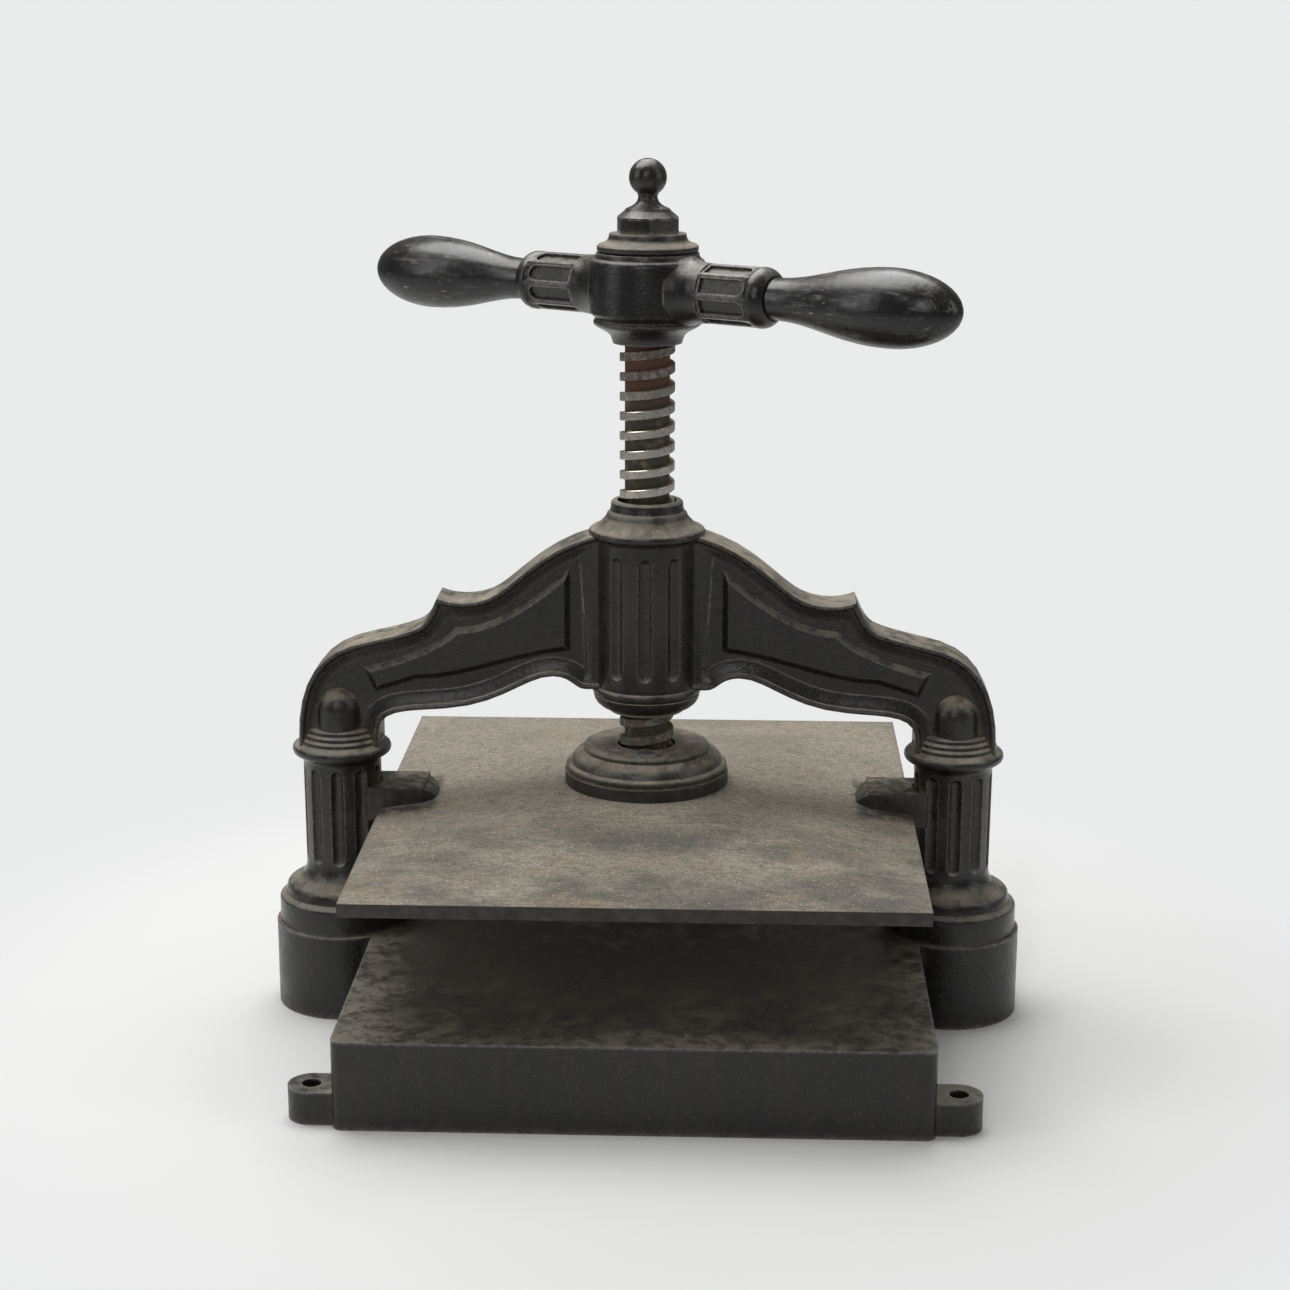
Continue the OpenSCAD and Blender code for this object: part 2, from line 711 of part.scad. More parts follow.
module column_bolt_left() { translate([-column_x, 0, 0]) column_bolt(); }
module column_bolt_right() { translate([column_x, 0, 0]) column_bolt(); }
module bolt_washer_left() { translate([-column_x, 0, 0]) bolt_washer(); }
module bolt_washer_right() { translate([column_x, 0, 0]) bolt_washer(); }

module screw_nut() {
    lead_in = floor((nut_z - thread_z) / pitch);
    color("#9c7a3c")
        difference() {
            union() {
                translate([0, 0, nut_z])
                    cylinder(r = nut_flange_r, h = nut_flange_t);
                translate([0, 0, nut_z])
                    cylinder(r = nut_r, h = nut_l);
            }
            threaded_rod(
                screw_core_r + run_gap, screw_r + run_gap, crest_w + 2 * run_gap,
                nut_z - 3 * pitch, thread_z + (lead_in - 1) * pitch - run_gap,
                nut_l / pitch + 4, nut_top_z + 4 * pitch
            );
        }
}

// A guide ear: a raised pad on the platen's side edge, hollowed to slide along its column
module guide_ear() {
    top_z = platen_edge_z + ear_h;
    notch_r = column_r + guide_gap;
    end_x = column_x - notch_r / 2;
    difference() {
        union() {
            translate([ear_tip_x + ear_w / 4, -ear_w / 2, platen_z])
                cube([end_x - ear_tip_x - ear_w / 4, ear_w, top_z - platen_z]);
            intersection() {
                translate([ear_tip_x + ear_w / 2, 0, platen_z])
                    cylinder(r = ear_w / 2, h = top_z - platen_z);
                translate([ear_tip_x + ear_nose_r, 0, top_z - ear_nose_r])
                    rotate([90, 0, 0])
                        cylinder(r = ear_nose_r, h = ear_w + 2 * overlap, center = true);
            }
        }
        translate([column_x, 0, platen_z - overlap])
            cylinder(r = notch_r, h = top_z - platen_z + 2 * overlap);
    }
}

module platen() {
    color("#57534c")
        difference() {
            union() {
                hull() {
                    translate([-platen_w / 2, -platen_d / 2, platen_z])
                        cube([platen_w, platen_d, platen_edge_t]);
                    translate([0, 0, platen_edge_z])
                        cylinder(r = platen_boss_r + 2, h = platen_crown, $fn = 32);
                }
                translate([0, 0, platen_crown_z - overlap])
                    cylinder(r = platen_boss_r, h = platen_boss_h + overlap);
                guide_ear();
                mirror([1, 0, 0])
                    guide_ear();
            }
            translate([0, 0, cup_z])
                cylinder(r = collar_r + run_gap * 2, h = cup_depth + overlap);
            for (y = [-1, 1])
                translate([0, y * cap_screw_x, cap_top_z - cap_screw_l - overlap])
                    cylinder(r = cap_screw_r + seat_gap, h = cap_screw_l + overlap);
        }
}

module thrust_disc() {
    color("#8a6a35")
        translate([0, 0, cup_z])
            cylinder(r = collar_r, h = thrust_t);
}

module swivel_cap() {
    color("#33312e")
        difference() {
            translate([0, 0, cap_z])
                rotate_extrude()
                    polygon(concat(
                        [[cap_hole_r, 0], [cap_r - 1.6, 0], [cap_r - 1.6, 0.9]],
                        arc(cap_r - 1.6, 2.5, 1.6, -80, 80, 5),
                        [[cap_r - 2.6, 4.4]],
                        curve([cap_r - 2.6, 4.4], [cap_r - 3.4, 8], [cap_top_r + 3.4, cap_h - 4], [cap_top_r + 1.6, cap_h - 3.4], 5),
                        [[cap_top_r, cap_h - 2.8], [cap_top_r, cap_h - 1], [cap_top_r - 0.8, cap_h], [cap_hole_r, cap_h]]
                    ));
            for (y = [-1, 1])
                translate([0, y * cap_screw_x, cap_z - overlap])
                    cylinder(r = cap_screw_r + seat_gap, h = cap_h + 2 * overlap);
        }
}

module cap_screw() {
    slot_w = 1.4;
    dome_sphere_r = (cap_head_r * cap_head_r + cap_head_h * cap_head_h) / (2 * cap_head_h);
    color("#6b655c") {
        translate([0, 0, cap_top_z - cap_screw_l])
            cylinder(r = cap_screw_r, h = cap_screw_l + overlap / 2);
        difference() {
            intersection() {
                translate([0, 0, cap_top_z])
                    cylinder(r = cap_head_r, h = cap_head_h);
                translate([0, 0, cap_top_z + cap_head_h - dome_sphere_r])
                    sphere(r = dome_sphere_r);
            }
            translate([-cap_head_r - overlap, -slot_w / 2, cap_top_z + cap_head_h - 1.3])
                cube([2 * (cap_head_r + overlap), slot_w, 2]);
        }
    }
}

module cap_screw_front() { translate([0, -cap_screw_x, 0]) cap_screw(); }
module cap_screw_rear() { translate([0, cap_screw_x, 0]) cap_screw(); }

module lead_screw() {
    color("#7c776f") {
        threaded_rod(
            screw_core_r, screw_r, crest_w,
            (foot_z + collar_top_z) / 2, thread_z, thread_turns, seat_z - neck_h / 2
        );
        rotate_extrude()
            polygon([
                [0, foot_z], [collar_r, foot_z], [collar_r, collar_top_z], [0, collar_top_z]
            ]);
        rotate_extrude()
            polygon([
                [0, seat_z - neck_h], [screw_r, seat_z - neck_h], [screw_r, seat_z],
                [stud_r, seat_z], [stud_r, stud_top_z - run_gap], [0, stud_top_z - run_gap]
            ]);
        translate([-square_w / 2, -square_w / 2, seat_z - neck_h / 4])
            cube([square_w, square_w, square_l + neck_h / 4]);
    }
}

// One arm of the handle, along +X from the screw's axis
module arm() {
    difference() {
        union() {
            rotate([0, 90, 0])
                cylinder(r = arm_r, h = arm_l - 8, $fn = 8);
            rotate([0, 90, 0])
                rotate_extrude()
                    polygon([
                        [0, hub_r - 10], [arm_r + 4, hub_r - 6], [arm_r + 1.6, hub_r - 0.5],
                        [arm_r + 0.4, hub_r + 4], [arm_r - 0.1, flat_start - 1.4], [0, flat_start - 1.4]
                    ]);
            rotate([0, 90, 0])
                rotate_extrude()
                    polygon(concat(
                        [[0, arm_l - 11], [arm_r * 0.94, arm_l - 9.6], [arm_r + 0.1, arm_l - 7.6]],
                        curve(
                            [arm_r + 0.1, arm_l - 7.6], [arm_r + 0.5, arm_l - 3.4],
                            [grip_neck_r + 2.4, arm_l - 1.4], [grip_neck_r + 0.8, arm_l], 5
                        ),
                        [[0, arm_l]]
                    ));
        }
        for (i = [0 : 7])
            rotate([22.5 + i * 45, 0, 0])
                translate([flat_start, 0, arm_r * cos(22.5) - flat_depth]) {
                    translate([0, -flat_w / 2, 0])
                        cube([flat_l - flat_w / 2, flat_w, 2 * flat_depth]);
                    translate([flat_l - flat_w / 2, 0, 0])
                        cylinder(r = flat_w / 2, h = 2 * flat_depth);
                }
        translate([arm_l - tang_in_arm, 0, 0])
            rotate([0, 90, 0])
                cylinder(r = tang_r + seat_gap, h = tang_in_arm + overlap);
    }
}

module on_handle() {
    translate([0, 0, arm_z])
        rotate([0, 0, -handle_turn])
            children();
}

module handle_hub() {
    shelf_z = hub_h - 5.6;
    color("#1f1e1d")
        difference() {
            union() {
                translate([0, 0, hub_z])
                    rotate_extrude()
                        polygon(concat(
                            [[0, 0], [17.4, 0], [18, 2.2]],
                            curve([18, 2.2], [18.6, 5.4], [22, 6.4], [hub_r - 3.6, 8.2], 4),
                            arc(hub_r - 3.4, 10.6, 1.9, -60, 70, 4),
                            [[hub_r - 2.2, 13], [hub_r, 15.2], [hub_r, shelf_z]],
                            arc(hub_r - 3, shelf_z, 3, 15, 75, 4),
                            [[hub_r - 3, shelf_z + 4.4], [hub_r - 3, hub_h], [0, hub_h]]
                        ));
                on_handle() {
                    arm();
                    rotate([0, 0, 180])
                        arm();
                }
            }
            translate([0, 0, hub_z - overlap])
                cylinder(r = screw_r + run_gap, h = hub_lip + overlap);
            translate([-square_w / 2 - seat_gap, -square_w / 2 - seat_gap, hub_z])
                cube([square_w + 2 * seat_gap, square_w + 2 * seat_gap, hub_h + overlap]);
        }
}

module tang() {
    color("#8b8882")
        on_handle()
            translate([arm_l - tang_in_arm, 0, 0])
                rotate([0, 90, 0])
                    cylinder(r = tang_r, h = tang_in_arm + tang_in_grip);
}

module grip() {
    color("#141312")
        on_handle()
            rotate([0, 90, 0])
                difference() {
                    rotate_extrude()
                        polygon(concat(
                            [[0, arm_l + seat_gap], [grip_neck_r - 0.3, arm_l + seat_gap], [grip_neck_r, arm_l + 5]],
                            curve(
                                [grip_neck_r, arm_l + 5], [grip_neck_r + 0.6, arm_l + 24],
                                [grip_r, grip_belly_s - 26], [grip_r, grip_belly_s], 9
                            ),
                            curve(
                                [grip_r, grip_belly_s], [grip_r, grip_belly_s + 19],
                                [grip_r * 0.6, grip_reach], [0, grip_reach], 12
                            )
                        ));
                    cylinder(r = tang_r + seat_gap, h = arm_l + tang_in_grip + overlap);
                }
}

module left_side() { rotate([0, 0, 180]) children(); }

module tang_right() { tang(); }
module tang_left() { left_side() tang(); }
module grip_right() { grip(); }
module grip_left() { left_side() grip(); }

module hub_washer() {
    color("#2a2927")
        translate([0, 0, hub_top_z])
            rotate_extrude()
                polygon(concat(
                    [[stud_r + seat_gap, 0], [washer_r - 1.4, 0], [washer_r, 1.2], [washer_r, 3.2], [washer_r - 1, 4.2]],
                    curve([washer_r - 1, 4.2], [washer_r - 4.6, 5], [washer_r - 5.6, 6.2], [washer_r - 6, washer_h - 1.6], 4),
                    [[washer_r - 6.2, washer_h], [stud_r + seat_gap, washer_h]]
                ));
}

module finial_nut() {
    hex_r = hex_af / 2;
    cone_h = 3.2;
    color("#242322")
        difference() {
            union() {
                translate([0, 0, hex_z])
                    rotate([0, 0, hex_turn - 90])
                        hex_prism(hex_af, hex_h);
                translate([0, 0, hex_z + hex_h])
                    rotate_extrude()
                        polygon(concat(
                            [[0, -overlap], [hex_r + 0.8, -overlap], [hex_r + 0.8, 0], [hex_r - 3, cone_h], [hex_r - 3.6, cone_h + 0.9]],
                            curve(
                                [hex_r - 3.6, cone_h + 0.9], [neck_r + 1.6, cone_h + 2.4],
                                [neck_r, cone_h + 4.4], [neck_r, ball_rise - ball_r + 0.2], 5
                            ),
                            [[neck_r + 0.9, ball_rise - sqrt(ball_r * ball_r - neck_r * neck_r) + 1.2], [0, ball_rise]]
                        ));
                translate([0, 0, ball_z])
                    sphere(r = ball_r);
            }
            translate([0, 0, hex_z - overlap])
                cylinder(r = stud_r + seat_gap, h = stud_top_z - hex_z + overlap);
        }
}

base();
arch();
column_bolt_left();
column_bolt_right();
bolt_washer_left();
bolt_washer_right();
screw_nut();
platen();
thrust_disc();
swivel_cap();
cap_screw_front();
cap_screw_rear();
lead_screw();
handle_hub();
tang_left();
tang_right();
grip_left();
grip_right();
hub_washer();
finial_nut();
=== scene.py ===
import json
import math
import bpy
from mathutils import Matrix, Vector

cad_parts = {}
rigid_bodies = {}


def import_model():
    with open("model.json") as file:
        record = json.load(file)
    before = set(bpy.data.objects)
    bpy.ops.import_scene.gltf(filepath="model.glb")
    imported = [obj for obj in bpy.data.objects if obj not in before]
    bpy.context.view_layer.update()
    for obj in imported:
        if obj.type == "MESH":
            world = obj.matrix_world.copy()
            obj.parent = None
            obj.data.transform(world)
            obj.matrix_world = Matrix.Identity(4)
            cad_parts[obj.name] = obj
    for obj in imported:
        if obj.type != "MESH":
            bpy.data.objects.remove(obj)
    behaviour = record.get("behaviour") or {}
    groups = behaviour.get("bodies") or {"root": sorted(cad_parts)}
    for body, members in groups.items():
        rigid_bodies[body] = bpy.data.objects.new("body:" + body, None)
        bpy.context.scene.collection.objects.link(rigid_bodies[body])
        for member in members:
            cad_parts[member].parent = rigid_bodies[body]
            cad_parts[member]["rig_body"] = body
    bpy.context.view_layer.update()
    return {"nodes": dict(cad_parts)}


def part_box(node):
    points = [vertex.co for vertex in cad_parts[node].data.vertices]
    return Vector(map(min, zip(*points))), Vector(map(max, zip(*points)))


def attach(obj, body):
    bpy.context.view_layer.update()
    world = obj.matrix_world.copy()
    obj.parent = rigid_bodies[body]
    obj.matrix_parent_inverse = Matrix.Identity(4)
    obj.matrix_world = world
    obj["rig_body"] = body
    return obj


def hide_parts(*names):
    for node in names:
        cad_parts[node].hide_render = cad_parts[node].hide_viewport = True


bl_info = {
    "name": "Copying press",
    "version": (1, 0, 0),
    "blender": (4, 5, 0),
    "location": "View3D > Sidebar > Press",
    "description": "Dresses a cast-iron copying press in old black paint, dust and rust, with a worn screw",
    "category": "Object",
}

import bpy
from bpy.props import FloatProperty, FloatVectorProperty, IntProperty, PointerProperty
from mathutils import Matrix, Vector

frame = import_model()
MM = 0.001

# How far the thread and the squared top reach into the shaft, so that no gap shows between them
OVERLAP = 0.6 * MM
# Points nearer than this are one point, in a piece drawn here and in a copy of a solid
WELD = 0.001 * MM
COPY_WELD = 0.002 * MM
# Faces that meet at less than this many degrees shade as one smooth surface
SMOOTH_ANGLE = 32
# Rays that feel out hollows and edges, and rays that round an edge in the shading
FEELING_RAYS = 6
ROUNDING_RAYS = 4
# How far in from a face the rays look for an outer edge
EDGE_REACH = 2.2 * MM
# The share of a relief's slope that the shading takes
BUMP_STRENGTH = 0.6
# The handle's right arm is turned this far to the front, and the brushing on the grips follows it
ARM_TURN = math.radians(34.5)

# The camera, solved from the round and square forms of the press in the photograph
CAMERA_AZIMUTH = math.radians(2.14)
CAMERA_ELEVATION = math.radians(14.15)
CAMERA_ROLL = math.radians(0.13)
CAMERA_DISTANCE = 1.2879
CAMERA_AIM = Vector((-0.00093, 0, 0.1954))
CAMERA_SIGHT = 20
SENSOR_WIDTH = 36
# The focal length and the frame's width, in the photograph's pixels
FOCAL_PIXELS = 2489
PHOTO_PIXELS = 1290

# The floor's side, and how far from its middle the plain paper ends and the even backdrop starts.
# The plain paper is darker than the backdrop: painted shade around the press
FLOOR_SIZE = 12
SHADED_PAPER_END = 0.26
BACKDROP_START = 0.46
# The lamp at the right has this share of the left one's power
RIGHT_SHARE = 0.8


def linear(hex_colour):
    """An sRGB hex colour as the linear colour that shaders take."""
    values = [int(hex_colour[i : i + 2], 16) / 255 for i in (1, 3, 5)]
    return tuple(v / 12.92 if v <= 0.04045 else ((v + 0.055) / 1.055) ** 2.4 for v in values)


def colour_prop(name, description, hex_colour):
    return FloatVectorProperty(
        name=name, description=description, default=linear(hex_colour), subtype="COLOR", size=3, min=0, max=1
    )


def length_prop(name, description, millimetres):
    return FloatProperty(
        name=name, description=description, default=millimetres * MM, subtype="DISTANCE", unit="LENGTH", min=0
    )


def power_prop(name, description, watts):
    return FloatProperty(name=name, description=description, default=watts, unit="POWER", min=0)


class PressSizes(bpy.types.PropertyGroup):
    screw_radius: length_prop("Screw radius", "Radius over the crest of the thread", 14)
    core_radius: length_prop("Core radius", "Radius of the core under the thread", 11.4)
    pitch: length_prop("Pitch", "Rise of the thread in one turn", 10)
    crest_width: length_prop("Crest width", "Width of the thread's flat crest", 4.4)
    worn_edge: length_prop("Worn edge", "Rounding of the thread's worn edges", 0.35)
    thread_foot: length_prop("Thread foot", "Height above the bench where the thread begins", 137.6)
    thread_head: length_prop("Thread head", "Height above the bench where the thread ends", 352.5)
    collar_radius: length_prop("Collar radius", "Radius of the screw's collar under the cap", 18.3)
    collar_height: length_prop("Collar height", "Height of that collar", 13.9)
    neck: length_prop("Neck", "Height above the bench where the core widens under the squared top", 354)
    seat: length_prop("Seat", "Height above the bench where the squared top begins", 358)
    square_width: length_prop("Square width", "Width of the squared top inside the hub", 18)
    square_height: length_prop("Square height", "Height of the squared top", 37.5)
    stud_radius: length_prop("Stud radius", "Radius of the stud above the squared top", 8)
    cast_edge: length_prop("Cast edge", "Rounding that the paint and the mould leave on a cast edge", 0.8)
    turned_edge: length_prop("Turned edge", "Rounding of a turned edge", 0.4)
    # Real moulding sand is finer. Its grain is drawn this coarse so that it shows
    sand_grain: length_prop("Sand grain", "Size of the mould's grain on the castings", 1.6)
    thread_steps: IntProperty(
        name="Thread steps", description="Straight pieces in one turn of the thread", default=48, min=16
    )


class PressFinishes(bpy.types.PropertyGroup):
    paint: colour_prop("Black paint", "Old black japan on the iron", "#0f0f0f")
    warm_paint: colour_prop("Browned paint", "Where the paint has thinned over rust", "#1f1814")
    # Also a painted highlight: on the iron's outer edges this grey stands in part for satin paint catching
    # the lamps
    worn: colour_prop("Worn edges", "Where the paint has rubbed off the edges", "#85817a")
    dust: colour_prop("Dust", "Grey dust that lies on upward faces", "#9d9484")
    caked_dust: colour_prop("Caked dust", "Browner dust that has caked in the mouldings", "#94836a")
    # Also painted shade: this near-black darkens the deepest seams, where little light reaches, besides their
    # grime
    grime_and_shade: colour_prop("Grime", "Black grime in the deepest seams", "#0c0b0a")
    soot: colour_prop("Smears", "Where the dust has been wiped off the platen", "#454542")
    crumbs: colour_prop("Crumbs", "Pale crumbs in the dust", "#c4b08c")
    rust: colour_prop("Rust", "Rust at chips and in the screw's grooves", "#59382a")
    enamel: colour_prop("Grip enamel", "Black enamel on the grips", "#0b0b0c")
    bright_steel: colour_prop("Bright steel", "Steel worn bright on the thread's crests", "#c4bfb5")
    groove: colour_prop("Groove", "Old grease and dust on the screw's core", "#3d392f")
    bolt_steel: colour_prop("Bolt steel", "Dulled steel of the bolts, washers and tangs", "#4a4640")
    bronze: colour_prop("Bronze", "Oiled bronze of the nut and the thrust disc", "#7d6030")


class PressStage(bpy.types.PropertyGroup):
    top_power: power_prop("Overhead lamp", "Power of the soft lamp above", 30)
    front_power: power_prop("Front lamp", "Power of the tall lamp by the camera", 6)
    side_power: power_prop("Side lamps", "Power of the left lamp. The right one has a little less", 4.5)
    room_level: FloatProperty(
        name="Room level", description="Strength of the room's even light", default=0.19, min=0
    )
    # Darker than the backdrop: painted shade on the floor around the press, besides its real shadow
    paper: colour_prop("Paper", "Pale paper under the press", "#d6d6d5")
    backdrop: colour_prop("Backdrop", "The same paper further off, in full light", "#eaebeb")


def add(tree, kind, links=None, **settings):
    """Adds a node, sets its properties, and sets or links its inputs, by name or number."""
    node = tree.nodes.new("ShaderNode" + kind)
    for key, value in settings.items():
        setattr(node, key, value)
    for key, value in (links or {}).items():
        socket = node.inputs[key]
        if isinstance(value, bpy.types.NodeSocket):
            tree.links.new(value, socket)
        else:
            socket.default_value = (*value, 1) if socket.type == "RGBA" and len(value) == 3 else value
    return node


def blank_material(name):
    """A new material without nodes, and its node tree."""
    material = bpy.data.materials.new(name)
    material.use_nodes = True
    material.node_tree.nodes.clear()
    return material, material.node_tree


def mixed(tree, factor, first, second):
    """The first colour where the factor is 0, and the second where it is 1."""
    return add(tree, "Mix", {0: factor, 6: first, 7: second}, data_type="RGBA").outputs[2]


def math_of(tree, operation, first, second=0.0, clamp=False):
    return add(tree, "Math", {0: first, 1: second}, operation=operation, use_clamp=clamp).outputs[0]


def product(tree, *values):
    result = values[0]
    for value in values[1:]:
        result = math_of(tree, "MULTIPLY", result, value)
    return result


def ranged(tree, value, low, high, to_low=0.0, to_high=1.0):
    """A value eased from low..high to to_low..to_high, and held at both ends."""
    links = {"Value": value, "From Min": low, "From Max": high, "To Min": to_low, "To Max": to_high}
    return add(tree, "MapRange", links, interpolation_type="SMOOTHSTEP").outputs[0]


class Surface:
    """The place, the facing and the masks that every finish on the press is painted with. Each mask goes
    from 0 to 1: upward faces, hollows of the mouldings that dust can fall into, seams, and outer edges."""

    def __init__(self, name, edge, reach=7):
        self.material, self.tree = blank_material(name)
        tree = self.tree
        self.at = add(tree, "TexCoord").outputs["Object"]
        normal = add(tree, "NewGeometry").outputs["Normal"]
        self.facing = add(tree, "SeparateXYZ", {0: normal}).outputs[2]
        self.upward = ranged(tree, self.facing, 0.3, 0.9)
        look = {"Distance": reach * MM}
        outside = add(tree, "AmbientOcclusion", look, samples=FEELING_RAYS).outputs["AO"]
        self.hollow = product(tree, ranged(tree, outside, 0.85, 0.4), ranged(tree, self.facing, -0.35, 0.45))
        # The deepest seams, where little light reaches, are darkened later with grime and painted shade
        self.seam = ranged(tree, outside, 0.34, 0.12)
        look = {"Distance": EDGE_REACH}
        inside = add(tree, "AmbientOcclusion", look, samples=FEELING_RAYS, inside=True).outputs["AO"]
        self.edges = ranged(tree, inside, 0.84, 0.54)
        self.soft_normal = add(tree, "Bevel", {"Radius": edge}, samples=ROUNDING_RAYS).outputs[0]

    def noise(self, size_mm, detail=3.0, roughness=0.55, shift=0.0, stretch=(1, 1, 1)):
        """Noise whose blotches are about size_mm across, drawn out along an axis whose stretch is over 1."""
        links = {"Vector": self.at, "Location": (shift, shift, shift), "Scale": [1 / s for s in stretch]}
        placed = add(self.tree, "Mapping", links).outputs[0]
        links = {"Vector": placed, "Scale": 1 / (size_mm * MM), "Detail": detail, "Roughness": roughness}
        return add(self.tree, "TexNoise", links).outputs[0]

    def spots(self, size_mm, level, amount=1.0, shift=0.0, stretch=(1, 1, 1)):
        """Small spots where noise rises over level."""
        return ranged(self.tree, self.noise(size_mm, 3, 0.6, shift, stretch), level, level + 0.05, 0, amount)

    def shade(self, colour, rough, relief, depth_mm, metallic=0.0, turned=0.0):
        """The finished material. Turned metal spreads its highlights round the Z axis it was turned on."""
        tree = self.tree
        links = {
            "Height": relief,
            "Distance": depth_mm * MM,
            "Strength": BUMP_STRENGTH,
            "Normal": self.soft_normal,
        }
        bumped = add(tree, "Bump", links).outputs[0]
        links = {"Base Color": colour, "Roughness": rough, "Normal": bumped, "Metallic": metallic}
        if turned:
            links["Anisotropic"] = turned
            links["Tangent"] = add(tree, "Tangent", direction_type="RADIAL", axis="Z").outputs[0]
        shader = add(tree, "BsdfPrincipled", links)
        add(tree, "OutputMaterial", {"Surface": shader.outputs[0]})
        return self.material


def old_iron(
    name,
    edge,
    up_dust=0.8,
    hollow_dust=0.8,
    reach=7,
    film=0.06,
    gloss=0.32,
    rust=0.25,
    wear_and_highlight=0.8,
    paint=None,
    relief=0.4,
):
    """Cast or turned iron under old brushed black japan: satin where it is clean, rubbed grey on the
    edges with a painted highlight, rusty at small chips, grey with dust on top, caked brown in the
    mouldings, black with grime and painted shade in the seams.

    up_dust, hollow_dust and film are the dust on top, in the mouldings and all over. gloss is the clean
    paint's roughness, so less of it shines more. reach and relief are in millimetres: how wide a hollow
    gathers dust, and how deep the grain is."""
    finish = bpy.context.scene.press_finishes
    grain_mm = bpy.context.scene.press_sizes.sand_grain / MM
    side = Surface(name, edge, reach)
    tree = side.tree
    broad = side.noise(45, 4)
    middle = side.noise(8, 5, 0.65)
    fine = side.noise(grain_mm, 4, 0.65)
    runs = side.noise(6, 3, stretch=(1, 1, 5))

    # The paint has browned in upright runs, and rusts where it is chipped
    colour = mixed(tree, ranged(tree, runs, 0.45, 0.8), paint or finish.paint, finish.warm_paint)
    colour = mixed(tree, side.spots(3, 0.68, rust), colour, finish.rust)

    # Dust has caked in the mouldings, lies on top in patches and veils the rest
    caked = product(tree, side.hollow, ranged(tree, middle, 0.3, 0.62, 0.2 * hollow_dust, hollow_dust))
    colour = mixed(tree, caked, colour, finish.caked_dust)
    patchy = product(tree, ranged(tree, middle, 0.35, 0.6, 0.4, 1), ranged(tree, broad, 0.35, 0.6, 0.55, 1))
    lying = product(tree, side.upward, patchy, ranged(tree, fine, 0.25, 0.5, 0.8, 1), up_dust)
    cloudy = ranged(tree, broad, 0.35, 0.7, 0.3, 1)
    veil = product(tree, cloudy, ranged(tree, middle, 0.35, 0.65, 0.4 * film, film))
    dusty = math_of(tree, "ADD", lying, veil, clamp=True)
    colour = mixed(tree, dusty, colour, finish.dust)
    colour = mixed(tree, side.spots(1.3, 0.64, 0.18, 11), colour, finish.dust)

    # The edges are rubbed to grey iron and carry a painted highlight, and the seams are black
    # with grime and painted shade
    rubbed = product(tree, side.edges, ranged(tree, side.noise(2.5, 5, 0.7, 3), 0.35, 0.6, 0.2, 1))
    colour = mixed(tree, product(tree, rubbed, wear_and_highlight), colour, finish.worn)
    colour = mixed(tree, product(tree, side.seam, 0.85), colour, finish.grime_and_shade)

    # Dust is matt, and the clean paint's satin varies a little and shows again on a rubbed edge
    matt = product(tree, math_of(tree, "MAXIMUM", caked, dusty), ranged(tree, rubbed, 0, 1, 1, 0.3))
    uneven = ranged(tree, middle, 0.3, 0.7, -0.07, 0.09)
    rough = math_of(tree, "ADD", ranged(tree, matt, 0.05, 0.7, gloss, 0.9), uneven)
    height = math_of(tree, "ADD", fine, product(tree, middle, 1.5))
    return side.shade(colour, rough, height, relief)


